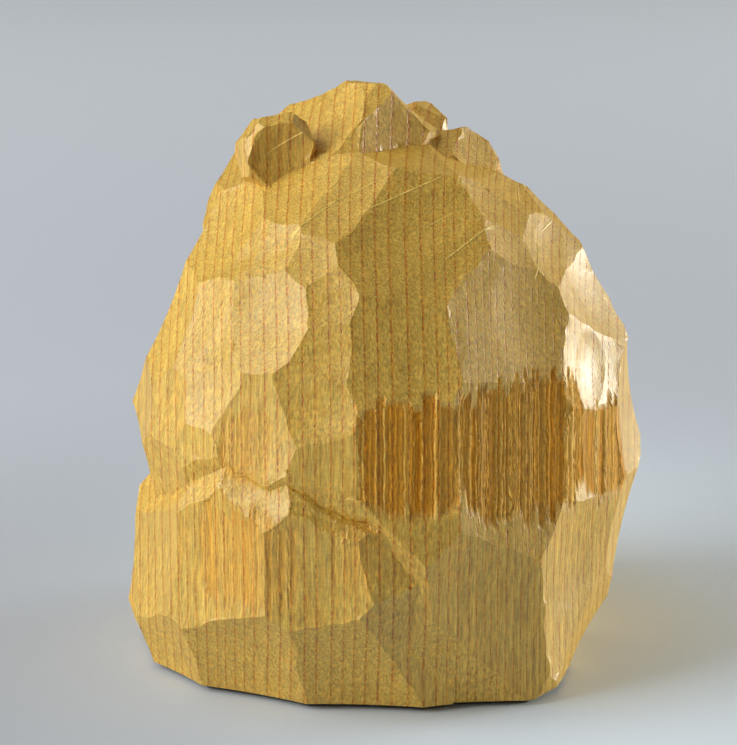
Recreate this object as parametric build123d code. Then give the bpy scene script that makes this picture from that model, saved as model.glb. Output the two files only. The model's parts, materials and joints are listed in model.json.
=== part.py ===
from build123d import *
import math
import os

# A seated, hunched bear-like animal, cut with gouges from one block of pale ring-porous wood,
# on a thin felt pad. Millimetres, +Z up. The animal looks along -Y and its left side is +X.

# Driving dimensions
FELT_THICKNESS = 1.0
FELT_SETBACK = 1.4          # how far the felt's rim stays inside the wood's underside
BLOCK_MARGIN = 6.0          # spare wood round each lobe before it is cut
SPARE = 200                 # size of the block that trims the underside flat
GOLDEN_ANGLE = 137.508
UNEVENNESS = 0.25           # how much the filling cuts differ in bite

# Lobes: centre and half sizes. The ones that come in pairs are given for the left side.
TORSO = ((0, 3.5, 28), (40.5, 36, 50))
HEAD = ((0, -9, 66), (20, 18.5, 22.6))
HUMP = ((-11.5, 3, 68), (11, 9, 10))
MUZZLE = ((0, -24, 60), (9, 9.5, 8.5))
NOSE = ((0, -32, 63.4), (3.4, 2.4, 2.2))
HAUNCH = ((13, 2.5, 14), (26.5, 32.5, 34))
LEFT_EAR = ((13.8, -4.8, 76.0), (6.2, 6.5, 6.6))
RIGHT_EAR = ((-13.2, -5, 74.6), (6, 6.5, 6.2))
FOREARM = ((17, -11, 39), (12, 13.5, 11.5))
PAW = ((8.5, -23, 34), (8, 8, 8))
FOOT = ((13, -20, 8), (9.5, 14, 10))

# Small features
EYE_CENTRE = (7.2, -25.6, 67.4)
EYE_RADIUS = 2.7
GROOVE_RADIUS = 0.8
MOUTH_CENTRE = (0, -24, 57)
MOUTH_RING_RADIUS = 8.9
MOUTH_ARC = 130
TOE_SPACING = 4.6
TOE_RING_RADIUS = 10.6
TOE_ARC = 75

# Cuts that fill the rest of a lobe: how many directions, the smallest gap to another cut in
# degrees, bite and gouge radius
TORSO_FILL = (140, 17, 1.8, 60)
HEAD_FILL = (60, 24, 2.0, 60)
HAUNCH_FILL = (60, 26, 2.4, 80)
LIMB_FILL = (26, 10, 1.0, 60)
SMALL_FILL = (22, 10, 0.9, 60)

# Each lobe is a block of wood shaped by gouge cuts. Its centre and half sizes describe the rounded
# form that the carver works towards. A cut is (azimuth, elevation, bite, gouge radius): the azimuth
# runs from the front (-Y) to the left side (+X), and the gouge goes in by the bite below the
# rounded form, where that form faces this way.

BACK_CUTS = [
    (190, 77, 1.6, 80),     # top of the hump
    (131, 57, 2.2, 80),
    (156, 46, 3.2, 150),    # the big facet behind the neck
    (222, 66, 1.8, 50),
    (216, 54, 1.6, 50),
    (200, 48, 1.5, 40),
    (189, 40, 1.1, 40),
    (206, 38, 1.4, 60),
    (151, 25, 2.2, 150),
    (177, 26, 2.4, 150),
    (209, 27, 1.2, 50),
    (200, 16, 1.7, 40),
    (152, 9, 2.2, 150),     # split-grain hollows
    (174, 9, 2.6, 150),
    (196, 5, 1.8, 60),
    (216, 6, 1.0, 80),
    (166, -6, 0.8, 150),    # small of the back
    (194, -4, 1.4, 120),
    (184, -12, -3.4, 150),
    (208, -16, 0.8, 120),
    (219, -34, 3.4, 80),
    (190, -32, -3.0, 80),
    (158, -34, -1.0, 80),
    (151, -20, 1.0, 120),
    (214, -8, 1.4, 80),
]
SIDE_CUTS = [               # shoulder and arm, alike on both sides
    (98, 60, 1.8, 80),
    (76, 44, 1.6, 60),
    (90, 44, 1.4, 30),
    (103, 44, 1.4, 50),
    (112, 31, 2.0, 40),
    (90, 26, 1.6, 80),
    (70, 24, 1.6, 80),
    (114, 11, 2.2, 80),
    (99, 17, 1.6, 50),
    (82, 13, 1.6, 60),
    (64, 10, 1.6, 60),
    (97, 6, 2.0, 60),
    (56, -8, 4.8, 150),     # underside of the arm
    (80, -10, 5.8, 150),
    (104, -10, 6.2, 150),
    (86, -26, 5.0, 80),
    (110, -26, 5.0, 80),
]
LEFT_BACK_CUTS = [
    (122, 43, 1.4, 40),
    (131, 34, 1.5, 30),
    (134, 25, 1.5, 40),
    (130, 16, 1.7, 60),
    (134, 7, 2.0, 60),
    (128, -10, 5.4, 150),
    (138, -28, 4.0, 80),
]
RIGHT_BACK_CUTS = [
    (230, 44, 0.6, 60),
    (231, 27, 0.2, 60),
    (236, 12, 1.6, 60),
    (228, -12, 2.0, 80),
]
CHEST_CUTS = [
    (0, 30, 8, 150),
    (0, 6, 11, 150),
    (0, -16, 9, 150),
    (34, 22, 5, 80),
    (-34, 22, 5, 80),
    (32, -4, 6, 80),
    (-32, -4, 6, 80),
]
HEAD_TOP_CUTS = [
    (200, 70, 0.3, 80),     # crown
    (112, 62, 4.6, 80),
    (150, 55, 1.8, 60),
    (140, 34, 1.8, 80),
    (222, 44, 1.4, 60),
    (262, 60, 1.6, 80),
    (0, 34, 3.4, 80),       # forehead
    (0, 60, 4.2, 80),
    (270, 87, 3.7, 80),     # blunts the top
    (62, 48, 9.6, 80),      # beside the left ear
    (88, 48, 8.6, 80),
    (298, 48, 8.2, 80),     # beside the right ear
    (272, 48, 7.0, 80),
]
HEAD_SIDE_CUTS = [
    (116, 20, 1.6, 80),
    (84, 22, 2.2, 40),
    (94, 2, 1.0, 40),
    (64, 24, 4.6, 80),
    (64, -2, 0.2, 60),
    (34, 14, 2.2, 60),
    (34, -12, 2.0, 60),
]
HAUNCH_CUTS = [
    (66, 30, 3.2, 80),      # top of the thigh
    (90, 23, -1.9, 80),
    (114, 22, -2.7, 80),
    (139, 22, -1.8, 80),
    (157, 11, -0.2, 60),
    (102, 3, 0.8, 150),
    (131, 5, 0.6, 80),
    (76, 6, 1.8, 80),
    (50, 4, 2.8, 80),
    (86, -20, 2.4, 80),
    (80, -40, 3.6, 80),
    (60, -18, 1.4, 80),
    (22, 34, 7.0, 80),
    (14, 6, 8.0, 80),
    (350, 10, 6.0, 80),
    (112, -22, 5.0, 80),
    (138, -22, 5.0, 80),
    (162, -10, 2.6, 80),
]
FLANK_CUTS = [
    (236, 30, 6.0, 120),
    (232, 0, 8.0, 120),
    (228, -24, 8.0, 120),
]
LEFT_EAR_HOLLOW = [(152, 6, 3.8, 12)]
RIGHT_EAR_HOLLOW = [(256, 4, 3.4, 10)]


def facing(azimuth, elevation):
    """Unit vector of a direction given in degrees."""
    a, e = math.radians(azimuth), math.radians(elevation)
    return Vector(math.sin(a) * math.cos(e), -math.cos(a) * math.cos(e), math.sin(e))


def mirrored(cuts):
    """The same cuts on the animal's other side."""
    return [(360 - azimuth, elevation, bite, radius) for azimuth, elevation, bite, radius in cuts]


def completed(cuts, count, gap, bite, radius):
    """The given cuts, and even ones wherever none lies within the gap, in degrees."""
    everywhere = list(cuts)
    for k in range(count):
        azimuth = (k * GOLDEN_ANGLE) % 360
        elevation = math.degrees(math.asin(1 - (2 * k + 1) / count))
        here = facing(azimuth, elevation)
        if all(here.get_angle(facing(cut[0], cut[1])) > gap for cut in everywhere):
            uneven = 1 + UNEVENNESS * math.cos(math.radians(GOLDEN_ANGLE) * k)
            everywhere.append((azimuth, elevation, bite * uneven, radius))
    return everywhere


def opposite(centre):
    """The place that mirrors this one."""
    x, y, z = centre
    return (-x, y, z)


def lobe(name, form, cuts):
    """A lobe's name, centre, half sizes and cuts."""
    centre, half = form
    return (name, centre, half, cuts)


def paired(name, form, cuts):
    """A left lobe and its mirror image on the right."""
    centre, half = form
    return [
        lobe("left_" + name, form, cuts),
        lobe("right_" + name, (opposite(centre), half), mirrored(cuts)),
    ]


def lobes():
    """Every lobe of the figure: name, centre, half sizes and cuts."""
    side_cuts = SIDE_CUTS + mirrored(SIDE_CUTS) + LEFT_BACK_CUTS + RIGHT_BACK_CUTS
    torso_cuts = completed(BACK_CUTS + side_cuts + CHEST_CUTS, *TORSO_FILL)
    head_cuts = completed(HEAD_TOP_CUTS + HEAD_SIDE_CUTS + mirrored(HEAD_SIDE_CUTS), *HEAD_FILL)
    haunch_cuts = completed(HAUNCH_CUTS, *HAUNCH_FILL)
    limb_cuts = completed([], *LIMB_FILL)
    small_cuts = completed([], *SMALL_FILL)
    centre, half = HAUNCH
    right_haunch = (opposite(centre), half)
    return [
        lobe("torso", TORSO, torso_cuts),
        lobe("head", HEAD, head_cuts),
        lobe("hump", HUMP, limb_cuts),
        lobe("muzzle", MUZZLE, small_cuts),
        lobe("nose", NOSE, small_cuts),
        lobe("left_haunch", HAUNCH, haunch_cuts),
        lobe("right_haunch", right_haunch, mirrored(haunch_cuts) + FLANK_CUTS),
        lobe("left_ear", LEFT_EAR, small_cuts + LEFT_EAR_HOLLOW),
        lobe("right_ear", RIGHT_EAR, mirrored(small_cuts) + RIGHT_EAR_HOLLOW),
        *paired("forearm", FOREARM, limb_cuts),
        *paired("paw", PAW, small_cuts),
        *paired("foot", FOOT, small_cuts),
    ]


def gouge(centre, half, cut):
    """The solid swept away by one gouge cut: a sphere that reaches the bite's depth into a lobe."""
    azimuth, elevation, bite, radius = cut
    outward = facing(azimuth, elevation)
    spread = Vector(*(size * size * part for size, part in zip(half, outward)))
    surface = Vector(*centre) + spread / math.sqrt(spread.dot(outward))
    middle = surface + outward * (radius - bite)
    sideways = outward.cross(facing(azimuth + 90, 0))
    return Plane(origin=middle, x_dir=outward, z_dir=sideways).location * Sphere(radius)


def carved_lobe(centre, half, cuts):
    """One lobe: a block of wood less every gouge cut."""
    length, width, height = (2 * (size + BLOCK_MARGIN) for size in half)
    wood = Pos(*centre) * Box(length, width, height)
    for cut in cuts:
        wood -= gouge(centre, half, cut)
    return wood


def grooves():
    """Round-bottomed grooves: the mouth round the muzzle, and two between the toes of each foot."""
    start = 270 - MOUTH_ARC / 2
    ring = Torus(MOUTH_RING_RADIUS, GROOVE_RADIUS, major_angle=MOUTH_ARC)
    cuts = [Pos(*MOUTH_CENTRE) * Rot(0, 0, start) * ring]
    toe_ring = Rot(0, 0, -TOE_ARC / 2) * Torus(TOE_RING_RADIUS, GROOVE_RADIUS, major_angle=TOE_ARC)
    foot_centre, _ = FOOT
    for x, y, z in (foot_centre, opposite(foot_centre)):
        for shift in (-TOE_SPACING / 2, TOE_SPACING / 2):
            upright = Plane(origin=(x + shift, y, z), x_dir=(0, -1, 0), z_dir=(1, 0, 0))
            cuts.append(upright.location * toe_ring)
    return cuts


def carved_figure():
    """The whole animal, one piece of wood, standing on its flat underside at z = 0."""
    figure = None
    for _, centre, half, cuts in lobes():
        wood = carved_lobe(centre, half, cuts)
        figure = wood if figure is None else figure + wood
    for eye in (EYE_CENTRE, opposite(EYE_CENTRE)):
        figure -= Pos(*eye) * Sphere(EYE_RADIUS)
    for groove in grooves():
        figure -= groove
    return figure - Pos(0, 0, -SPARE / 2) * Box(SPARE, SPARE, SPARE)


def felt_pad(figure):
    """The pad under the figure: the underside's outline, set back, FELT_THICKNESS thick."""
    underside = figure.faces().sort_by(Axis.Z)[0]
    outline = offset(Face(underside.outer_wire()), amount=-FELT_SETBACK)
    return extrude(outline, amount=FELT_THICKNESS, dir=(0, 0, -1))


def main():
    os.makedirs("parts", exist_ok=True)
    figure = carved_figure()
    pad = felt_pad(figure)
    middle = figure.bounding_box().center()
    place = Pos(-middle.X, -middle.Y, FELT_THICKNESS)
    export_step(place * figure, "parts/carved_figure.step")
    export_step(place * pad, "parts/felt_pad.step")


if __name__ == "__main__":
    main()
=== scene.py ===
"""Looks for the gouge-carved, seated bear-like animal: fine carved surface, wood, felt, stage."""

import json
import math

import bmesh
import bpy
import numpy as np
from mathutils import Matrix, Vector, geometry
from mathutils.bvhtree import BVHTree
from mathutils.kdtree import KDTree

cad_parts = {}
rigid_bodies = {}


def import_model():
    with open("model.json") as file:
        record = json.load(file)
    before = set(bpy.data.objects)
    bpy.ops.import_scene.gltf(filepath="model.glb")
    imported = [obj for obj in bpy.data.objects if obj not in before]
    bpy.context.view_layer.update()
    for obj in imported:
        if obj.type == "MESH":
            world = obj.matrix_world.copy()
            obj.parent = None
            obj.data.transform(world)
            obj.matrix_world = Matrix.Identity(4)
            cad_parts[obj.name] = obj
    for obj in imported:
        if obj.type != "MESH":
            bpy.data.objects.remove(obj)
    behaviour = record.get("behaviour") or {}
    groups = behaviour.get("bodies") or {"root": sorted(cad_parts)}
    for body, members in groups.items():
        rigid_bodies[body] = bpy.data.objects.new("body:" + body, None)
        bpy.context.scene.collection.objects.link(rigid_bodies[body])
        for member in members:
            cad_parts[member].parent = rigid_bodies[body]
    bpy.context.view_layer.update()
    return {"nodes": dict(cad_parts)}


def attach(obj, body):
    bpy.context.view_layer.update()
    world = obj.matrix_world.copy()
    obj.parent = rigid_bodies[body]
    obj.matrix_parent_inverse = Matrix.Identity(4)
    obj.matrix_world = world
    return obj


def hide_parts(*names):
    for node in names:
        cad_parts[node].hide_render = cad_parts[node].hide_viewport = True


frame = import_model()

MM = 0.001

# Camera: the direction it stands in (azimuth from the front, -Y, towards the left side, +X)
CAMERA_AZIMUTH = 140.0
CAMERA_ELEVATION = 16.0
CAMERA_DISTANCE = 520.0
CAMERA_LENS = 165.8
AIM = Vector((0.0, -3.2, 42.0))

# Fine mesh of the carved surface (mm, degrees)
CREASE_ANGLE = 8.0          # edges steeper than this are ridges between facets
SHARP_ANGLE = 8.5           # ridges steeper than this are shaded as sharp
RIDGE_STEP = 0.5
GRID_STEP = 0.72
BASE_STEP = 2.0             # on the flat underside
TORN_STEP = 0.21            # across the grain where the grain is torn
TORN_STEP_ALONG = 0.6
ROW_PITCH = 0.87            # from one row of points to the next, as a part of the step in the row
NICK_STEP = 0.4
STROKE_STEP = 0.7
GRID_CLEARANCE = 0.45       # from ridges and marks to the grid's points, as a part of the step
TORN_CLEARANCE = 0.13
MARK_CLEARANCE = 0.15       # from ridges to the outlines of the marks
MARK_FACING = 0.6           # a mark is drawn on facets that face its way at least this much (cosine)
MARK_REACH = 3.0            # and that lie no deeper than this under it
RIDGE_WANDER = 0.24         # how far the ridges swing to and fro
RIDGE_WAVES = (2.4, 8.0)    # shortest and longest wave of that
WANDER_WAVES = 24           # how many waves that is made of
WANDER_SEED = 21
CALM_AT_BASE = 2.0          # the swing fades out this near the underside
CALM_AT_NICK = 1.5          # and this near a burr
STEEPEST = 72.0             # facets that turn further than this keep the solid's own triangles
UNDERSIDE = -0.98           # a facet that faces down at least this much is the underside (cosine)
FAR_OUT = 100.0             # a distance outside the solid, from which rays are sent to it

# Growth rings: nearly flat layers that run along the grain, +Z, and face this way
RING_AZIMUTH = 230.0
RING_BEND_RADIUS = 260.0    # the rings are arcs about a pith this far away
RING_BEND_SHIFT = 16.0      # and the arcs turn furthest out this far towards the animal's left back
RING_SEED = 11
RING_PLACES = (-40, -24, -18, -2, 6, 12, 30, 45)            # across the rings
RING_WIDTHS = (1.2, 1.35, 1.8, 2.0, 2.1, 1.15, 1.1, 1.5)    # how wide the rings are there
RINGS_FROM, RINGS_TO = -60.0, 60.0

# Torn grain comes off in upright lanes of different depths, with fibres standing between them
LANES = 200                 # more than any patch takes
LANES_BEFORE = 60           # of which about so many lie before the animal's middle
LANE_WIDTHS = (0.35, 0.6, 1.0, 1.5)     # as parts of the patch's pitch
LANE_CHANCES = (0.3, 0.3, 0.25, 0.15)
FIBRE_WIDTH = 0.15
FADE_TOP, FADE_BOTTOM, FADE_SIDE = 0.7, 1.6, 0.5    # how soon the depth runs out at a patch's borders
FULLY_TORN = 0.4            # patches at least this deep look wholly torn
TORN_MARGIN = 0.4           # how far the fine mesh goes on beyond a patch
LANE_REACH = 1.12           # the longest lanes end this far out, as a part of the half height
LANE_SEED, DRIFT_SEED, CRUMB_SEED = 50, 40, 60

# Torn grain: azimuth and height of the middle, half width across, half height, depth, pitch
TORN_PATCHES = [
    (147, 39.5, 8.2, 8.8, 0.60, 1.9),
    (179, 38.5, 12.0, 10.8, 0.46, 0.95),
    (207.5, 34.5, 6.0, 8.2, 0.32, 0.9),
    (108, 40.0, 4.2, 6.0, 0.16, 1.1),
    (109, 24.0, 8.4, 8.4, 0.20, 0.9),
    (134, 26.0, 4.0, 5.5, 0.10, 1.0),
    (262, 47.0, 7.0, 6.0, 0.2, 1.3),
    (318, 22.0, 6.0, 7.0, 0.2, 1.2),
    (30, 24.0, 5.0, 6.0, 0.16, 1.1),
]

# Shallow gouge strokes: azimuth, height, tilt, half length, half width, depth
STROKES = [
    (90, 64.5, 20, 4.0, 3.2, 0.28),
    (121, 64.9, 30, 7.0, 3.6, 0.28),
    (119, 58.5, 18, 10.0, 4.6, 0.35),
    (124, 53.6, 12, 8.6, 3.4, 0.25),
    (128, 47.8, 16, 8.0, 4.2, 0.32),
    (95, 48.8, 70, 7.0, 4.2, 0.25),
    (100, 56.5, 60, 7.0, 3.6, 0.21),
    (104, 68.0, 50, 7.5, 3.0, 0.25),
    (153, 69.0, 25, 12.0, 5.0, 0.28),
    (160, 62.0, 30, 13.0, 4.4, 0.25),
    (153, 54.0, 80, 10.0, 5.0, 0.28),
    (188, 57.4, 78, 12.0, 6.0, 0.28),
    (214, 63.5, 30, 7.0, 3.4, 0.28),
    (233, 70.5, 20, 6.0, 3.0, 0.25),
    (220, 56.9, 84, 8.0, 5.0, 0.25),
    (207, 46.7, 60, 6.0, 4.0, 0.35),
    (112, 34.6, -14, 8.0, 2.2, 0.28),
    (134, 30.5, -28, 7.0, 3.0, 0.28),
    (131, 22.0, 55, 8.0, 4.5, 0.28),
    (162, 22.8, 84, 11.0, 6.5, 0.28),
    (154, 8.8, 4, 12.0, 4.6, 0.32),
    (194, 19.8, 60, 9.0, 5.0, 0.28),
    (112, 12.0, 10, 10.0, 5.0, 0.28),
]

BURR_HEIGHT = 0.1           # a burr this high is wholly of fresh wood
TINT_SEED = 5               # for the small differences between facets

# Burrs left by the corner of the gouge: azimuth, height, tilt, length, how far they stand out
NICKS = [
    (178, 67.6, 37, 12.0, 0.10),
    (203, 63.6, 27, 9.0, 0.12),
    (150, 73.2, 21, 15.0, 0.10),
    (226, 66.4, 12, 7.0, 0.08),
    (232, 70.2, 25, 6.0, 0.08),
    (168, 70.0, 27, 6.0, 0.05),
    (108, 70.2, 44, 13.0, 0.10),
    (118, 73.0, 36, 11.0, 0.10),
    (70, 79.5, 30, 7.5, 0.12),
]


def direction(azimuth, elevation=0.0):
    """Unit vector of a direction given in degrees."""
    a, e = math.radians(azimuth), math.radians(elevation)
    return Vector((math.sin(a) * math.cos(e), -math.cos(a) * math.cos(e), math.sin(e)))


def link(name, mesh):
    """A new object of this mesh in the scene."""
    piece = bpy.data.objects.new(name, mesh)
    bpy.context.scene.collection.objects.link(piece)
    return piece


# ---------------------------------------------------------------- carved surface

def solid_of(node):
    """A CAD node as a triangulated bmesh in millimetres, with its split vertices joined again."""
    solid = bmesh.new()
    solid.from_mesh(frame["nodes"][node].data)
    bmesh.ops.scale(solid, vec=(1 / MM,) * 3, verts=solid.verts)
    bmesh.ops.remove_doubles(solid, verts=solid.verts, dist=0.002)
    bmesh.ops.triangulate(solid, faces=solid.faces)
    solid.verts.index_update()
    solid.edges.index_update()
    solid.faces.index_update()
    solid.normal_update()
    return solid


def edge_angle(edge):
    """The angle between the two faces of an edge, in degrees."""
    return math.degrees(edge.calc_face_angle(0)) if len(edge.link_faces) == 2 else 180.0


def facets_of(solid):
    """The carved facets: lists of faces that no ridge separates."""
    facets = []
    seen = set()
    for seed in solid.faces:
        if seed in seen:
            continue
        seen.add(seed)
        members, waiting = [], [seed]
        while waiting:
            face = waiting.pop()
            members.append(face)
            for edge in face.edges:
                if edge_angle(edge) <= CREASE_ANGLE:
                    for other in edge.link_faces:
                        if other not in seen:
                            seen.add(other)
                            waiting.append(other)
        facets.append(members)
    return facets


class Stroke:
    """A shallow, lens-shaped gouge stroke on the surface."""

    def __init__(self, tree, azimuth, height, tilt, half_length, half_width, depth):
        out = direction(azimuth)
        hit, normal, _, _ = tree.ray_cast(out * FAR_OUT + Vector((0, 0, height)), -out)
        right = Vector((0, 0, 1)).cross(normal).normalized()
        up = normal.cross(right)
        t = math.radians(tilt)
        self.centre, self.normal = hit, normal
        self.along = right * math.cos(t) + up * math.sin(t)
        self.across = normal.cross(self.along)
        self.half_length, self.half_width, self.depth = half_length, half_width, depth

    def lines(self):
        """The lines that the mesh has to follow: the stroke's outline."""
        steps = max(16, round(math.pi * (self.half_length + self.half_width) / STROKE_STEP))

        def place(k):
            a = math.tau * k / steps
            along = self.along * (self.half_length * math.cos(a))
            return self.centre + along + self.across * (self.half_width * math.sin(a))

        return [[place(k) for k in range(steps + 1)]]

    def spread(self, points):
        """Where each point is along and across the mark: from -1 to 1 on it."""
        offset = points - np.array(self.centre)
        s = offset @ np.array(self.along) / self.half_length
        t = offset @ np.array(self.across) / self.half_width
        return s, t

    def depths(self, points, normals):
        """How deep the stroke is at each of the points."""
        s, t = self.spread(points)
        inside = (s * s + t * t < 1) & (normals @ np.array(self.normal) > 0.5)
        return np.where(inside, self.depth * (1 - s * s - t * t), 0.0)


class Nick(Stroke):
    """A long, narrow burr."""

    WIDTH = 0.16

    def __init__(self, tree, azimuth, height, tilt, length, depth):
        super().__init__(tree, azimuth, height, tilt, length / 2, self.WIDTH, depth)

    def lines(self):
        """The lines that the mesh has to follow: the burr's two sides and its crest."""
        steps = round(self.half_length * 2 / NICK_STEP)

        def place(k, side):
            along = self.along * (self.half_length * (2 * k / steps - 1))
            return self.centre + along + self.across * (side * self.WIDTH)

        return [[place(k, side) for k in range(steps + 1)] for side in (-1, 0, 1)]

    def distance(self, points):
        """How far each point is from the burr's line."""
        offset = points - np.array(self.centre)
        beyond = np.maximum(abs(offset @ np.array(self.along)) - self.half_length, 0)
        return np.hypot(beyond, np.linalg.norm(np.cross(offset, np.array(self.along)), axis=1))

    def depths(self, points, normals):
        """How far the burr stands out at each of the points."""
        s, t = self.spread(points)
        inside = (abs(s) < 1) & (abs(t) < 1) & (normals @ np.array(self.normal) > 0.5)
        return np.where(inside, self.depth * (1 - abs(t)) * np.sqrt(1 - np.minimum(s * s, 1)), 0.0)


WAVE_HEIGHT = 1.75          # of three octaves together


def wave(x, seed, octaves=3):
    """Smooth noise along one axis, from -1 to 1."""
    rng = np.random.default_rng(seed)
    total = np.zeros_like(x)
    for k in range(octaves):
        f = 2.0 ** k
        total += np.sin(x * f * rng.uniform(0.8, 1.3) + rng.uniform(0, math.tau)) / f
    return total / WAVE_HEIGHT


def ring_coordinate(points):
    """How many growth rings there are between the pith and each point."""
    across = np.array(direction(RING_AZIMUTH))
    away = np.array(direction(RING_AZIMUTH + 90))
    a = points @ across
    d = points @ away
    z = points[:, 2]
    radius = RING_BEND_RADIUS - np.hypot(RING_BEND_RADIUS - a, d + RING_BEND_SHIFT)
    radius += 0.14 * wave(z * 0.05 + a * 0.02, 1, 2) + 0.05 * wave(d * 0.2 + z * 0.05, 2, 2)
    rng = np.random.default_rng(RING_SEED)
    edges = [RINGS_FROM]
    while edges[-1] < RINGS_TO:
        width = np.interp(edges[-1], RING_PLACES, RING_WIDTHS)
        edges.append(edges[-1] + width * rng.uniform(0.78, 1.22))
    return np.interp(radius, edges, np.arange(len(edges)))


def wander(points, normals, nicks):
    """A small sideways drift of the surface, which makes its ridges wavy as a hand-held gouge leaves them."""
    rng = np.random.default_rng(WANDER_SEED)
    shift = np.zeros_like(points)
    for _ in range(WANDER_WAVES):
        heading = rng.normal(size=3)
        heading *= math.tau / rng.uniform(*RIDGE_WAVES) / np.linalg.norm(heading)
        shift += np.sin(points @ heading + rng.uniform(0, math.tau))[:, None] * rng.normal(size=3)
    shift *= RIDGE_WANDER / math.sqrt(WANDER_WAVES / 2)
    shift -= normals * np.sum(shift * normals, axis=1)[:, None]
    calm = np.clip((points[:, 2] - points[:, 2].min()) / CALM_AT_BASE, 0, 1)
    for nick in nicks:
        calm = np.minimum(calm, nick.distance(points) / CALM_AT_NICK)
    return shift * calm[:, None]


def torn_lanes(x, pitch, rng):
    """For each place across the grain: its lane's number, that lane's width and how far in it lies."""
    widths = rng.choice(LANE_WIDTHS, LANES, p=LANE_CHANCES)
    borders = np.cumsum(pitch * widths) - LANES_BEFORE * pitch
    lane = np.interp(x, borders, np.arange(LANES))
    number = np.floor(lane).astype(int)
    width = np.diff(borders, append=borders[-1] + pitch)[number]
    return number, width, (lane - number) * width


def torn_patch(k, points, outward):
    """One patch: where it is, and there the depth, how torn it is and where fibres stand proud."""
    middle, height, half_width, half_height, deep, pitch = TORN_PATCHES[k]
    rng = np.random.default_rng(LANE_SEED + k)
    azimuth = np.degrees(np.arctan2(points[:, 0], -points[:, 1]))
    reach = np.hypot(points[:, 0], points[:, 1])
    s = np.radians((azimuth - middle + 180) % 360 - 180) * reach
    z = points[:, 2] - height
    x = points @ np.array(direction(RING_AZIMUTH))
    x = x + 0.10 * wave(z * 0.5 + x, DRIFT_SEED + k, 2)
    number, width, into = torn_lanes(x, pitch, rng)
    table = rng.uniform(0, 1, (5, LANES))
    above, below, deepness, crest, tone = (row[number] for row in table)
    fade = np.abs(s / half_width) ** 3
    top = half_height * (0.80 + 0.30 * above - 0.2 * fade)
    bottom = half_height * (0.80 + 0.30 * below - 0.3 * fade)
    inside = (np.abs(s) < half_width) & (z < top) & (z > -bottom) & outward
    ridge = np.clip(1 - np.minimum(into, width - into) / FIBRE_WIDTH, 0, 1) * (0.2 + 0.8 * crest)
    inward = [(top - z) / FADE_TOP, (z + bottom) / FADE_BOTTOM, (half_width - np.abs(s)) / FADE_SIDE]
    fall = np.clip(np.minimum.reduce(inward), 0, 1)
    trough = (0.3 + 0.7 * deepness) * (1 - ridge) + 0.16 * wave(x * 9, CRUMB_SEED + k, 3)
    strength = min(1.0, deep / FULLY_TORN)
    return inside, deep * fall * trough, strength * fall * (0.55 + 0.45 * tone), strength * fall * ridge


def torn_depth(points, normals):
    """Depth of the torn grain at each point, how torn it is there, and where fibres stand proud."""
    totals = [np.zeros(len(points)) for _ in range(3)]
    reach = np.hypot(points[:, 0], points[:, 1])
    outward = (normals[:, 0] * points[:, 0] + normals[:, 1] * points[:, 1]) / np.maximum(reach, 1e-6) > 0.3
    for k in range(len(TORN_PATCHES)):
        inside, *values = torn_patch(k, points, outward)
        totals = [np.where(inside, np.maximum(total, value), total) for total, value in zip(totals, values)]
    return totals


def torn_near(point):
    """Whether a point of the surface is in or beside a patch of torn grain."""
    azimuth = math.degrees(math.atan2(point.x, -point.y))
    reach = math.hypot(point.x, point.y)
    for middle, height, half_width, half_height, _, _ in TORN_PATCHES:
        s = math.radians((azimuth - middle + 180) % 360 - 180) * reach
        beside = abs(s) - half_width
        beyond = abs(point.z - height) - half_height * LANE_REACH
        if beside < TORN_MARGIN and beyond < TORN_MARGIN:
            return True
    return False


def mean_normal(members):
    """The way that a facet's faces look on the whole."""
    total = sum((face.normal * face.calc_area() for face in members), Vector())
    return total.normalized() if total.length > 0 else members[0].normal


def nearest_of(places):
    """A tree that finds the nearest of these places on a plane."""
    tree = KDTree(len(places))
    for k, (a, b) in enumerate(places):
        tree.insert((a, b, 0), k)
    tree.balance()
    return tree


class Skin:
    """The fine mesh while it is being put together."""

    def __init__(self, solid):
        self.solid = solid
        self.points = [vertex.co.copy() for vertex in solid.verts]
        self.faces = []
        self.face_facet = []
        self.chains = {}

    def add_chains(self, facet_of):
        """Divides every ridge into short steps."""
        for edge in self.solid.edges:
            sides = {facet_of[face.index] for face in edge.link_faces}
            if edge_angle(edge) <= CREASE_ANGLE and len(sides) == 1:
                continue
            a, b = edge.verts
            parts = max(1, math.ceil(edge.calc_length() / RIDGE_STEP))
            chain = [a.index]
            for k in range(1, parts):
                chain.append(len(self.points))
                self.points.append(a.co.lerp(b.co, k / parts))
            chain.append(b.index)
            self.chains[edge.index] = chain

    def keep(self, members, number):
        """Uses the solid's own triangles, with the ridges' extra points."""
        for face in members:
            ring = []
            for loop in face.loops:
                a = loop.vert.index
                chain = self.chains.get(loop.edge.index)
                if chain is None:
                    ring.append(a)
                else:
                    ring.extend(chain[:-1] if chain[0] == a else chain[:0:-1])
            self.faces.append(ring)
            self.face_facet.append(number)

    def fill(self, members, number, normal, marks):
        """Covers one facet with an even grid of points between its ridges and marks."""
        patch = Patch(self, members, normal)
        patch.draw(marks)
        taken = nearest_of(patch.coords)
        flat = normal.z < UNDERSIDE
        step = BASE_STEP if flat else GRID_STEP
        patch.add_grid(step, step * ROW_PITCH, GRID_CLEARANCE * step, taken,
                       lambda hit: flat or not torn_near(hit))
        if not flat:
            patch.add_grid(TORN_STEP, TORN_STEP_ALONG, TORN_CLEARANCE, taken, torn_near)
        for face in patch.triangles():
            self.faces.append(face)
            self.face_facet.append(number)


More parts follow.
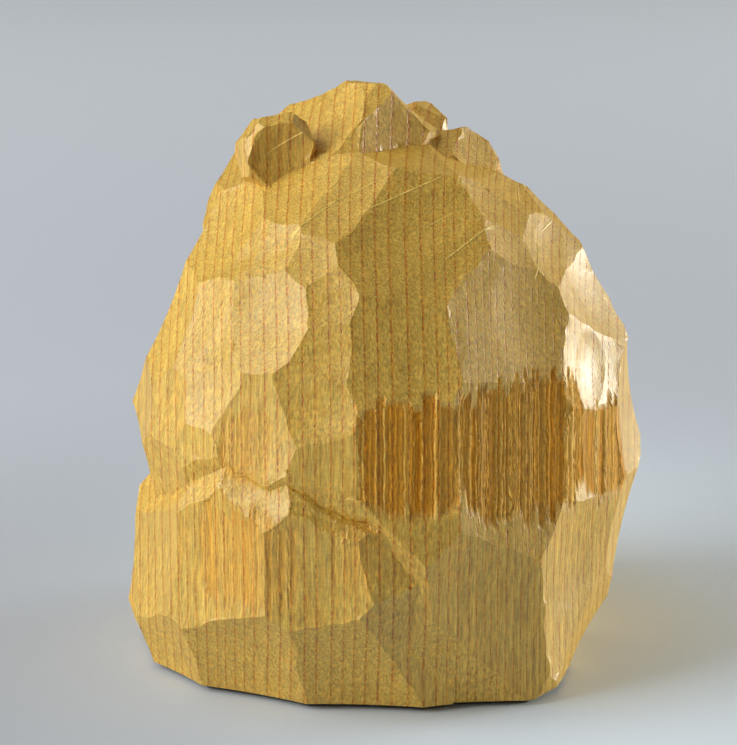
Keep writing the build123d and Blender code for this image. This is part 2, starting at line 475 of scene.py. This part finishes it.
class Patch:
    """One facet laid flat: its points, the edges they must keep and the solid's surface under them."""

    def __init__(self, skin, members, normal):
        self.skin, self.normal = skin, normal
        upright = Vector((0, 0, 1)) - normal * normal.z
        self.v = upright.normalized() if upright.length > 0.25 else normal.orthogonal().normalized()
        self.u = self.v.cross(normal)
        used = sorted({vertex.index for face in members for vertex in face.verts})
        local = {index: k for k, index in enumerate(used)}
        corners = [[local[vertex.index] for vertex in face.verts] for face in members]
        self.surface = BVHTree.FromPolygons([skin.points[index] for index in used], corners)
        self.level = skin.points[used[0]].dot(normal)
        self.ids, self.coords, self.where = [], [], {}
        borders = {edge.index for face in members for edge in face.edges if edge.index in skin.chains}
        chains = [skin.chains[index] for index in borders]
        self.edges = [(self.add(a), self.add(b)) for chain in chains for a, b in zip(chain, chain[1:])]
        self.low, self.high = np.min(self.coords, axis=0), np.max(self.coords, axis=0)

    def lift(self, a, b):
        """The place on the surface over a place on the plane, or None beside the facet."""
        return self.surface.ray_cast(self.u * a + self.v * b + self.normal * (2 * FAR_OUT), -self.normal)[0]

    def add(self, index):
        """The number that a point of the skin has in this patch."""
        if index not in self.where:
            self.where[index] = len(self.ids)
            self.ids.append(index)
            point = self.skin.points[index]
            self.coords.append((point.dot(self.u), point.dot(self.v)))
        return self.where[index]

    def add_point(self, place):
        """Adds a new point to the skin and the patch."""
        self.skin.points.append(place)
        return self.add(len(self.skin.points) - 1)

    def draw(self, marks):
        """Adds the lines of the marks that lie on this facet."""
        (a0, b0), (a1, b1) = self.low, self.high
        middle = self.u * (a0 + a1) / 2 + self.v * (b0 + b1) / 2 + self.normal * self.level
        centre = self.surface.find_nearest(middle)[0]
        radius = math.hypot(a1 - a0, b1 - b0) / 2
        border = nearest_of(self.coords)
        for mark in marks:
            facing = mark.normal.dot(self.normal) >= MARK_FACING
            if facing and (mark.centre - centre).length <= radius + mark.half_length + 2:
                for line in mark.lines():
                    self.draw_line(line, border)

    def draw_line(self, line, border):
        """Adds the parts of a line that are over the facet and clear of its ridges."""
        last = None
        for point in line:
            a, b = point.dot(self.u), point.dot(self.v)
            hit = self.lift(a, b)
            clear = hit is not None and border.find((a, b, 0))[2] > MARK_CLEARANCE
            if not clear or (hit - point).length > MARK_REACH:
                last = None
                continue
            here = self.add_point(hit)
            if last is not None:
                self.edges.append((last, here))
            last = here

    def add_grid(self, across, along, clearance, taken, wanted):
        """Adds staggered rows of points, wherever the surface is as wanted and nothing else is near."""
        (a0, b0), (a1, b1) = self.low, self.high
        for row, b in enumerate(np.arange(b0 + along / 2, b1, along)):
            for a in np.arange(a0 + across * (0.25 + 0.5 * (row % 2)), a1, across):
                if taken.find((a, b, 0))[2] < clearance:
                    continue
                hit = self.lift(a, b)
                if hit is not None and wanted(hit):
                    self.add_point(hit)

    def triangles(self):
        """The triangles between the patch's points, as lists of the skin's point numbers."""
        places, _, triangles, origins, _, _ = geometry.delaunay_2d_cdt(
            [Vector(c) for c in self.coords], self.edges, [], 0, 1e-6, True)
        numbers = [self.ids[min(origin)] if origin else self.crossing(place)
                   for place, origin in zip(places, origins)]
        for triangle in triangles:
            p, q, r = (places[k] for k in triangle)
            area = (q - p).cross(r - p) / 2
            middle = (p + q + r) / 3
            if abs(area) < 1e-6 or self.lift(middle.x, middle.y) is None:
                continue
            face = [numbers[k] for k in triangle]
            if len(set(face)) == 3:
                yield face if area > 0 else face[::-1]

    def crossing(self, place):
        """A new point of the skin where two lines cross on the plane."""
        hit = self.lift(place.x, place.y)
        if hit is None:
            hit = self.surface.find_nearest(self.u * place.x + self.v * place.y)[0]
        self.skin.points.append(hit)
        return len(self.skin.points) - 1


def meshed(solid, facets, marks):
    """A fine mesh of the facets, in millimetres, with nothing carved into it yet."""
    skin = Skin(solid)
    skin.add_chains({face.index: k for k, members in enumerate(facets) for face in members})
    limit = math.cos(math.radians(STEEPEST))
    for number, members in enumerate(facets):
        normal = mean_normal(members)
        if min(face.normal.dot(normal) for face in members) < limit or len(members) < 2:
            skin.keep(members, number)
        else:
            skin.fill(members, number, normal, marks)
    mesh = bpy.data.meshes.new("carved_wood")
    mesh.from_pydata([tuple(p) for p in skin.points], [], skin.faces)
    mesh.attributes.new("facet", "INT", "FACE").data.foreach_set("value", np.array(skin.face_facet))
    drop_loose_points(mesh)
    return mesh


def drop_loose_points(mesh, turn_outward=False):
    """Deletes the points that no face uses, and turns the faces outward where that is asked for."""
    work = bmesh.new()
    work.from_mesh(mesh)
    bmesh.ops.delete(work, geom=[v for v in work.verts if not v.link_faces], context="VERTS")
    if turn_outward:
        bmesh.ops.recalc_face_normals(work, faces=work.faces)
    work.to_mesh(mesh)
    work.free()


def vectors_of(collection, field):
    """A field of vectors of a mesh's points, as an array of rows."""
    values = np.empty(len(collection) * 3)
    collection.foreach_get(field, values)
    return values.reshape(-1, 3)


def carve(mesh, strokes, nicks):
    """Moves the mesh's points: strokes, burrs, wavy ridges and torn grain. Keeps what the material needs."""
    points = vectors_of(mesh.vertices, "co")
    normals = vectors_of(mesh.vertex_normals, "vector")
    depth, burr = np.zeros(len(points)), np.zeros(len(points))
    for stroke in strokes:
        depth = np.maximum(depth, stroke.depths(points, normals))
    for nick in nicks:
        raised = nick.depths(points, normals)
        depth -= raised
        burr = np.maximum(burr, raised / BURR_HEIGHT)
    points = points + wander(points, normals, nicks)
    ring = ring_coordinate(points)
    torn_down, torn, proud = torn_depth(points, normals)
    points = points - normals * (depth + torn_down)[:, None]
    mesh.vertices.foreach_set("co", (points * MM).ravel())
    for name, values in (("ring", ring), ("torn", torn), ("proud", proud), ("burr", burr)):
        mesh.attributes.new(name, "FLOAT", "POINT").data.foreach_set("value", values)


def carved_mesh(node):
    """The fine mesh of the carved wood, with its marks, torn grain and growth rings."""
    solid = solid_of(node)
    facets = facets_of(solid)
    tree = BVHTree.FromBMesh(solid)
    strokes = [Stroke(tree, *row) for row in STROKES]
    nicks = [Nick(tree, *row) for row in NICKS]
    mesh = meshed(solid, facets, strokes + nicks)
    solid.free()
    carve(mesh, strokes, nicks)
    numbers = np.empty(len(mesh.polygons), dtype=int)
    mesh.attributes["facet"].data.foreach_get("value", numbers)
    tints = np.random.default_rng(TINT_SEED).uniform(0, 1, len(facets))
    mesh.attributes.new("tint", "FLOAT", "FACE").data.foreach_set("value", tints[numbers])
    mesh.polygons.foreach_set("use_smooth", np.ones(len(mesh.polygons), dtype=bool))
    mesh.update()
    mesh.set_sharp_from_angle(angle=math.radians(SHARP_ANGLE))
    return mesh


def carved_wood():
    """The carved animal."""
    piece = link("carved_wood", carved_mesh("carved_figure"))
    piece.data.materials.append(wood_material())
    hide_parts("carved_figure")
    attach(piece, "root")
    return piece


# ---------------------------------------------------------------- felt

FELT_STEP = 0.45
FELT_ROUND = 0.3            # radius of its soft edge, mm
FELT_FUZZ = 0.05            # how far the fibres push its surface in and out
FELT_TURNS = 4              # steps round each soft edge
FELT_SEED = 8


def outline_of(solid):
    """The outline of a flat pad: the border of its upper face, in order."""
    upper = {face for face in solid.faces if face.normal.z > 0.9}
    border = [edge for edge in solid.edges if sum(face in upper for face in edge.link_faces) == 1]
    edge = border[0]
    vertex = edge.verts[0]
    outline = []
    while len(outline) < len(border):
        outline.append(vertex.co.copy())
        vertex = edge.other_vert(vertex)
        edge = next(other for other in border if vertex in other.verts and other is not edge)
    return outline


def evenly(outline, step):
    """Points at even distances along a closed outline."""
    closed = np.array([tuple(point)[:2] for point in outline + outline[:1]])
    along = np.concatenate([[0], np.cumsum(np.linalg.norm(np.diff(closed, axis=0), axis=1))])
    places = np.linspace(0, along[-1], round(along[-1] / step), endpoint=False)
    return np.column_stack([np.interp(places, along, closed[:, k]) for k in (0, 1)])


def within(x, y, loop):
    """Whether a place is inside a closed outline, which a line from it crosses an odd number of times."""
    ahead = np.roll(loop, -1, axis=0)
    spans = (loop[:, 1] > y) != (ahead[:, 1] > y)
    a, b = loop[spans], ahead[spans]
    crossings = a[:, 0] + (y - a[:, 1]) * (b[:, 0] - a[:, 0]) / (b[:, 1] - a[:, 1])
    return np.count_nonzero(x < crossings) % 2 == 1


def felt_profile(low, high):
    """The pad's side with its two soft edges: how far in from the outline, and how high."""
    profile = []
    for k in range(FELT_TURNS + 1):
        turn = math.pi / 2 * k / FELT_TURNS
        profile.append((FELT_ROUND * (1 - math.sin(turn)), low + FELT_ROUND * (1 - math.cos(turn))))
    return profile + [(inset, low + high - z) for inset, z in reversed(profile)]


def felt_side(line, profile, rng):
    """The points and faces of the pad's side: one ring of points for each step of the profile."""
    tangent = np.roll(line, -1, axis=0) - np.roll(line, 1, axis=0)
    tangent /= np.linalg.norm(tangent, axis=1)[:, None]
    inward = np.column_stack([-tangent[:, 1], tangent[:, 0]])
    points, faces = [], []
    count = len(line)
    for inset, z in profile:
        push = FELT_FUZZ * rng.uniform(0, 1, count)
        points += [(x, y, z) for x, y in line + inward * (inset + push)[:, None]]
    for row in range(len(profile) - 1):
        for k in range(count):
            a, b = row * count + k, row * count + (k + 1) % count
            faces.append((a, b, b + count, a + count))
    return points, faces


def felt_lid(points, faces, first, count, lower, rng):
    """Closes the pad inside one ring of its points with a fine, dented grid."""
    rim = [Vector(points[first + k][:2]) for k in range(count)]
    loop = np.array(rim)
    z = points[first][2]
    (x0, y0), (x1, y1) = loop.min(axis=0), loop.max(axis=0)
    near = nearest_of(rim)
    places = [(x, y) for x in np.arange(x0, x1, FELT_STEP * 2) for y in np.arange(y0, y1, FELT_STEP * 2)]
    grid = [Vector((x, y)) for x, y in places if within(x, y, loop) and near.find((x, y, 0))[2] > FELT_STEP]
    edges = [(k, (k + 1) % count) for k in range(count)]
    places, _, triangles, origins, _, _ = geometry.delaunay_2d_cdt(rim + grid, edges, [], 0, 1e-6, True)
    numbers = []
    for place, origin in zip(places, origins):
        if origin and min(origin) < count:
            numbers.append(first + min(origin))
        else:
            numbers.append(len(points))
            dent = FELT_FUZZ * rng.uniform(0, 1)
            points.append((place.x, place.y, z + dent if lower else z - dent))
    for triangle in triangles:
        p, q, r = (places[k] for k in triangle)
        if within(*((p + q + r) / 3), loop):
            upward = (q - p).cross(r - p) > 0
            face = [numbers[k] for k in triangle]
            faces.append(face if upward != lower else face[::-1])


def felt_mesh(node):
    """A thin cut sheet of felt with rounded, slightly fuzzy edges and dented faces."""
    solid = solid_of(node)
    line = evenly(outline_of(solid), FELT_STEP)
    heights = [vertex.co.z for vertex in solid.verts]
    solid.free()
    following = np.roll(line, -1, axis=0)
    if np.sum(line[:, 0] * following[:, 1] - line[:, 1] * following[:, 0]) < 0:
        line = line[::-1]       # anticlockwise
    rng = np.random.default_rng(FELT_SEED)
    profile = felt_profile(min(heights), max(heights))
    points, faces = felt_side(line, profile, rng)
    count = len(line)
    felt_lid(points, faces, 0, count, True, rng)
    felt_lid(points, faces, (len(profile) - 1) * count, count, False, rng)
    mesh = bpy.data.meshes.new("black_felt")
    mesh.from_pydata([tuple(MM * c for c in point) for point in points], [], faces)
    drop_loose_points(mesh, turn_outward=True)
    mesh.polygons.foreach_set("use_smooth", np.ones(len(mesh.polygons), dtype=bool))
    return mesh


def felt_pad():
    """The black felt under the animal."""
    piece = link("black_felt", felt_mesh("felt_pad"))
    piece.data.materials.append(felt_material())
    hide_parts("felt_pad")
    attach(piece, "root")
    return piece


# ---------------------------------------------------------------- materials

class Graph:
    """A material's node tree, with short ways to add nodes. A value is a number or another node's output."""

    def __init__(self, name):
        self.material = bpy.data.materials.new(name)
        self.material.use_nodes = True
        self.nodes = self.material.node_tree.nodes
        self.links = self.material.node_tree.links
        self.shader = self.nodes["Principled BSDF"]

    def node(self, kind, inputs=None, **settings):
        """A new node with these inputs and settings."""
        node = self.nodes.new(kind)
        for key, value in settings.items():
            setattr(node, key, value)
        for key, value in (inputs or {}).items():
            self.feed(node.inputs[key], value)
        return node

    def feed(self, socket, value):
        """Links an output to the socket, or sets a constant on it."""
        if isinstance(value, bpy.types.NodeSocket):
            self.links.new(value, socket)
        else:
            socket.default_value = value

    def math(self, operation, a, b=0.0, c=0.0):
        """The result of a sum on up to three values."""
        node = self.node("ShaderNodeMath", operation=operation)
        for socket, value in zip(node.inputs, (a, b, c)):
            self.feed(socket, value)
        return node.outputs[0]

    def ramp(self, value, *stops):
        """Maps a value through straight lines between (position, result) stops."""
        node = self.node("ShaderNodeFloatCurve", {"Value": value})
        curve = node.mapping.curves[0]
        while len(curve.points) < len(stops):
            curve.points.new(0.5, 0.5)
        for point, place in zip(curve.points, stops):
            point.location = place
            point.handle_type = "VECTOR"
        node.mapping.update()
        return node.outputs[0]

    def mix(self, factor, a, b):
        """Colour a, or b where the factor is 1."""
        node = self.node("ShaderNodeMix", data_type="RGBA")
        self.feed(node.inputs[0], factor)
        self.feed(node.inputs[6], a)
        self.feed(node.inputs[7], b)
        return node.outputs[2]

    def scaled(self, vector, scale):
        """A vector with each part multiplied by that of the scale."""
        node = self.node("ShaderNodeVectorMath", operation="MULTIPLY")
        self.feed(node.inputs[0], vector)
        node.inputs[1].default_value = scale
        return node.outputs[0]

    def noise(self, vector, scale, detail=2.0, distortion=0.0):
        """Cloudy noise from 0 to 1, with the scale's number of clouds per unit along each axis."""
        node = self.node("ShaderNodeTexNoise", {"Vector": self.scaled(vector, scale), "Scale": 1.0,
                                                "Detail": detail, "Distortion": distortion})
        return node.outputs["Fac"]

    def cells(self, vector, scale, feature="F1"):
        """Distance to the nearest of many scattered spots, or to the border between them."""
        node = self.node("ShaderNodeTexVoronoi", {"Vector": self.scaled(vector, scale), "Scale": 1.0},
                         voronoi_dimensions="3D", feature=feature)
        return node.outputs["Distance"]

    def rise(self, value, low, high):
        """Climbs smoothly from 0 at the low value to 1 at the high one."""
        return self.node("ShaderNodeMapRange", {"Value": value, "From Min": low, "From Max": high},
                         interpolation_type="SMOOTHSTEP").outputs[0]

    def shaded(self, colour, value):
        """The colour made lighter or darker."""
        return self.node("ShaderNodeHueSaturation", {"Color": colour, "Value": value}).outputs[0]

    def bump(self, height, strength, distance):
        """Makes the surface look uneven."""
        node = self.node("ShaderNodeBump", {"Height": height, "Strength": strength, "Distance": distance})
        self.feed(self.shader.inputs["Normal"], node.outputs[0])

    def place(self):
        """The place on the object, in metres."""
        return self.node("ShaderNodeTexCoord").outputs["Object"]

    def attribute(self, name):
        """A value that the mesh carries."""
        return self.node("ShaderNodeAttribute", attribute_name=name).outputs["Fac"]


def rgb(r, g, b):
    """Linear colour of an sRGB colour given from 0 to 255."""
    def linear(c):
        c /= 255
        return c / 12.92 if c <= 0.04045 else ((c + 0.055) / 1.055) ** 2.4
    return (linear(r), linear(g), linear(b), 1.0)


LATE_WOOD = rgb(214, 177, 76)
LATE_WOOD_DEEP = rgb(203, 160, 56)
EARLY_WOOD = rgb(199, 139, 27)
PORE = rgb(182, 94, 0)
TORN_WOOD = rgb(206, 134, 4)
FRESH_WOOD = rgb(252, 222, 116)
DARKEST_SHADE = -0.58       # the wood's shade before its patterns lighten it


class Grain:
    """The patterns of the wood, from 0 to 1, along its grain and across its growth rings."""

    def __init__(self, g):
        place = g.scaled(g.place(), (1 / MM,) * 3)
        turn = g.node("ShaderNodeVectorRotate", {"Vector": place, "Angle": -math.radians(RING_AZIMUTH - 90)},
                      rotation_type="Z_AXIS").outputs[0]    # x across the rings, y along them, z up the grain
        ring = g.attribute("ring")
        phase = g.math("FRACT", ring)
        self.early = g.ramp(phase, (0.0, 1.0), (0.08, 1.0), (0.17, 0.0), (0.97, 0.0), (1.0, 1.0))
        self.late = g.ramp(phase, (0.0, 0.6), (0.3, 0.5), (0.8, 0.0), (1.0, 0.4))
        self.pores = self.rows_of_pores(g, turn, ring)
        self.specks = g.ramp(g.cells(turn, (5.5, 5.5, 1.2)), (0.0, 1.0), (0.22, 0.6), (0.34, 0.0), (1.0, 0.0))
        self.fibre = g.noise(turn, (3.8, 3.8, 0.32), 3.0)
        self.thread = g.noise(turn, (5.5, 5.5, 1.6))
        self.streak = g.noise(turn, (2.4, 2.4, 0.14))
        self.coarse = g.noise(turn, (1.1, 0.5, 0.05))
        self.rays = g.noise(turn, (0.8, 2.4, 3.6), 3.0)
        self.cloud = g.noise(turn, (0.06, 0.06, 0.04))
        self.fuzz = g.noise(turn, (3.4, 3.4, 1.5), 4.0, 1.6)

    def rows_of_pores(self, g, turn, ring):
        """Long, thin pores, crowded where each ring begins, in rows that are broken here and there."""
        pore = g.ramp(g.cells(turn, (3.6, 3.6, 1.15)), (0.0, 1.0), (0.44, 1.0), (0.6, 0.0), (1.0, 0.0))
        broken = g.noise(turn, (0.6, 0.6, 0.9), 3.0)
        broken = g.ramp(broken, (0.0, 0.15), (0.36, 0.4), (0.52, 1.0), (1.0, 1.0))
        luck = g.node("ShaderNodeTexWhiteNoise", {"W": g.math("FLOOR", ring)},
                      noise_dimensions="1D").outputs["Value"]
        crowded = g.math("MULTIPLY", self.early, g.math("MULTIPLY_ADD", luck, 0.4, 0.8))
        return g.math("MULTIPLY", pore, g.math("MULTIPLY", crowded, broken))


def wood_colour(g, grain, tint):
    """The wood's colour, with its pores, its torn grain and the fresh wood on ridges and burrs."""
    colour = g.mix(grain.late, LATE_WOOD, LATE_WOOD_DEEP)
    colour = g.mix(g.math("MULTIPLY", grain.early, 0.55), colour, EARLY_WOOD)
    streak = g.ramp(grain.streak, (0.0, 0.7), (0.36, 0.5), (0.56, 0.0), (1.0, 0.0))
    colour = g.mix(streak, colour, EARLY_WOOD)
    colour = g.mix(g.attribute("torn"), colour, TORN_WOOD)
    colour = g.mix(g.math("MULTIPLY", grain.pores, 0.9), colour, PORE)
    colour = g.mix(g.math("MULTIPLY", grain.specks, 0.35), colour, EARLY_WOOD)
    colour = g.mix(g.math("MULTIPLY", g.attribute("proud"), 0.9), colour, FRESH_WOOD)
    colour = g.mix(g.math("MINIMUM", g.attribute("burr"), 0.7), colour, FRESH_WOOD)
    amounts = ((grain.fibre, 1.6), (grain.thread, 0.5), (grain.coarse, 0.5), (grain.rays, 0.4),
               (grain.cloud, 0.2), (tint, 0.06))
    shade = DARKEST_SHADE
    for pattern, amount in amounts:
        shade = g.math("MULTIPLY_ADD", pattern, amount, shade)
    return g.shaded(colour, shade)


def wood_height(g, grain, tint):
    """The wood's fine relief: fibres, pores, rays, and fuzz that some facets have and others don't."""
    height = g.math("SUBTRACT", g.math("MULTIPLY", grain.fibre, 0.6), g.math("MULTIPLY", grain.pores, 0.5))
    height = g.math("MULTIPLY_ADD", grain.rays, 0.15, height)
    height = g.math("MULTIPLY_ADD", grain.thread, 0.25, height)
    return g.math("MULTIPLY_ADD", grain.fuzz, g.math("MULTIPLY_ADD", tint, 0.7, 0.1), height)


def wood_material():
    """Pale ring-porous wood, cut with sharp gouges and torn in places."""
    g = Graph("carved_wood")
    grain = Grain(g)
    tint = g.attribute("tint")
    g.feed(g.shader.inputs["Base Color"], wood_colour(g, grain, tint))
    g.bump(wood_height(g, grain, tint), 0.8, 0.07 * MM)
    rough = g.math("MULTIPLY_ADD", grain.fibre, 0.24, 0.3)
    rough = g.math("MULTIPLY_ADD", tint, 0.08, rough)
    rough = g.math("MULTIPLY_ADD", g.attribute("torn"), 0.6, rough)
    g.feed(g.shader.inputs["Roughness"], rough)
    g.shader.inputs["IOR"].default_value = 1.65
    g.shader.inputs["Specular IOR Level"].default_value = 0.55
    g.shader.inputs["Specular Tint"].default_value = (1.0, 0.97, 0.86, 1)
    return g.material


WOOL_DARK = (0.006, 0.006, 0.008, 1)
WOOL_PALE = (0.024, 0.024, 0.028, 1)
LINT = (0.06, 0.06, 0.065, 1)


def felt_material():
    """Matted black wool: tangled fibres, a little lint, no shine."""
    g = Graph("black_felt")
    place = g.scaled(g.place(), (1 / MM,) * 3)
    tangle = g.noise(place, (3.5, 3.5, 3.5), 5.0, 2.5)
    lint = g.ramp(tangle, (0.0, 0.0), (0.62, 0.0), (0.78, 0.5), (1.0, 1.0))
    colour = g.mix(lint, g.mix(tangle, WOOL_DARK, WOOL_PALE), LINT)
    g.feed(g.shader.inputs["Base Color"], colour)
    strands = g.cells(place, (2.2, 2.2, 2.2), "DISTANCE_TO_EDGE")
    g.bump(g.math("MULTIPLY_ADD", strands, 0.6, tangle), 1.0, 0.12 * MM)
    g.shader.inputs["Roughness"].default_value = 0.95
    g.shader.inputs["Sheen Weight"].default_value = 0.4
    g.shader.inputs["Sheen Roughness"].default_value = 0.6
    g.shader.inputs["Specular IOR Level"].default_value = 0.15
    return g.material


# painted shade: the paper is darker round the object
PAPER_PAINTED_SHADE_NEAR = (0.47, 0.50, 0.53, 1)
FAR_PAPER = (0.61, 0.65, 0.695, 1)
# painted light: the paper is paler far from the object
PAPER_PAINTED_LIGHT_FAR = (0.78, 0.83, 0.875, 1)
PAPER_PAINTED_SHADOW_LIFT = (0.82, 0.93, 1.0, 1)    # painted light on the side away from the main light, which lifts the object's shadow there


def stage_material():
    """Pale paper, with painted shade round the object, painted light farther off, and painted light that
    lifts the object's shadow.
    """
    g = Graph("pale_stage")
    place = g.place()
    away = g.node("ShaderNodeVectorMath", operation="LENGTH")
    g.feed(away.inputs[0], place)
    # painted shade round the object, which fades out by 16 cm from it
    far = g.rise(away.outputs["Value"], 0.04, 0.16)
    # painted light: the paper grows paler from 16 to 55 cm out
    painted_light_far_mask = g.rise(away.outputs["Value"], 0.16, 0.55)
    colour = g.mix(painted_light_far_mask, g.mix(far, PAPER_PAINTED_SHADE_NEAR, FAR_PAPER), PAPER_PAINTED_LIGHT_FAR)
    side = g.node("ShaderNodeVectorMath", operation="DOT_PRODUCT")
    g.feed(side.inputs[0], place)
    side.inputs[1].default_value = direction(CAMERA_AZIMUTH + 90)
    # painted light: paler paper on the shadow side, away from the main light, to lift the shadow
    shaded = g.rise(side.outputs["Value"], -0.09, 0.07)
    colour = g.mix(g.math("MULTIPLY", shaded, g.math("SUBTRACT", 1.0, far)), colour, PAPER_PAINTED_SHADOW_LIFT)
    tooth = g.noise(place, (900, 900, 900), 3.0)
    g.feed(g.shader.inputs["Base Color"], g.shaded(colour, g.math("MULTIPLY_ADD", tooth, 0.05, 0.975)))
    g.bump(tooth, 0.2, 0.05 * MM)
    g.shader.inputs["Roughness"].default_value = 0.9
    g.shader.inputs["Specular IOR Level"].default_value = 0.2
    return g.material


# ---------------------------------------------------------------- stage, lights, camera

LIGHT_DISTANCE = 1.0
COOL = (0.96, 0.99, 1.04)
PLAIN = (0.98, 0.99, 0.97)

# Soft boxes: name, azimuth, elevation, width and height, watts, colour
BOXES = [
    ("left_box", 68, 32, (0.7, 0.6), 6.3, COOL),
    ("left_low_box", 66, 12, (0.5, 0.36), 3.0, COOL),
    ("left_high_box", 50, 62, (0.7, 0.7), 1.6, COOL),
    ("right_box", 253, 3, (0.34, 0.16), 7.8, PLAIN),
    ("right_fill", 258, 20, (0.4, 0.3), 1.0, PLAIN),
]


def area_light(name, azimuth, elevation, size, watts, colour):
    """A soft box that looks at the animal."""
    light = bpy.data.lights.new(name, "AREA")
    light.shape = "RECTANGLE"
    light.size, light.size_y = size
    light.energy = watts
    light.color = colour
    lamp = bpy.data.objects.new(name, light)
    bpy.context.scene.collection.objects.link(lamp)
    aim = AIM * MM
    lamp.location = aim + direction(azimuth, elevation) * LIGHT_DISTANCE
    lamp.rotation_euler = (aim - lamp.location).to_track_quat("-Z", "Y").to_euler()


FLOOR_REACH = 3.0


def stage():
    """A wide, pale floor."""
    mesh = bpy.data.meshes.new("floor")
    corners = [(FLOOR_REACH * x, FLOOR_REACH * y, 0) for x, y in ((-1, -1), (1, -1), (1, 1), (-1, 1))]
    mesh.from_pydata(corners, [], [(0, 1, 2, 3)])
    floor = link("floor", mesh)
    floor.data.materials.append(stage_material())


def camera():
    """A long lens behind the animal's left shoulder, looking slightly down."""
    data = bpy.data.cameras.new("camera")
    data.lens = CAMERA_LENS
    data.sensor_width = 36
    data.clip_start = 0.01
    eye = bpy.data.objects.new("camera", data)
    bpy.context.scene.collection.objects.link(eye)
    eye.location = (AIM + direction(CAMERA_AZIMUTH, CAMERA_ELEVATION) * CAMERA_DISTANCE) * MM
    eye.rotation_euler = (AIM * MM - eye.location).to_track_quat("-Z", "Y").to_euler()
    bpy.context.scene.camera = eye


def lights():
    """Soft studio light: mostly from the animal's left, and low from behind its right."""
    bpy.context.scene.view_settings.view_transform = "Standard"
    world = bpy.data.worlds.new("studio")
    bpy.context.scene.world = world
    world.use_nodes = True
    background = world.node_tree.nodes["Background"]
    background.inputs["Color"].default_value = (1.0, 0.955, 0.9, 1)
    background.inputs["Strength"].default_value = 0.225
    for box in BOXES:
        area_light(*box)


carved_wood()
felt_pad()
stage()
camera()
lights()
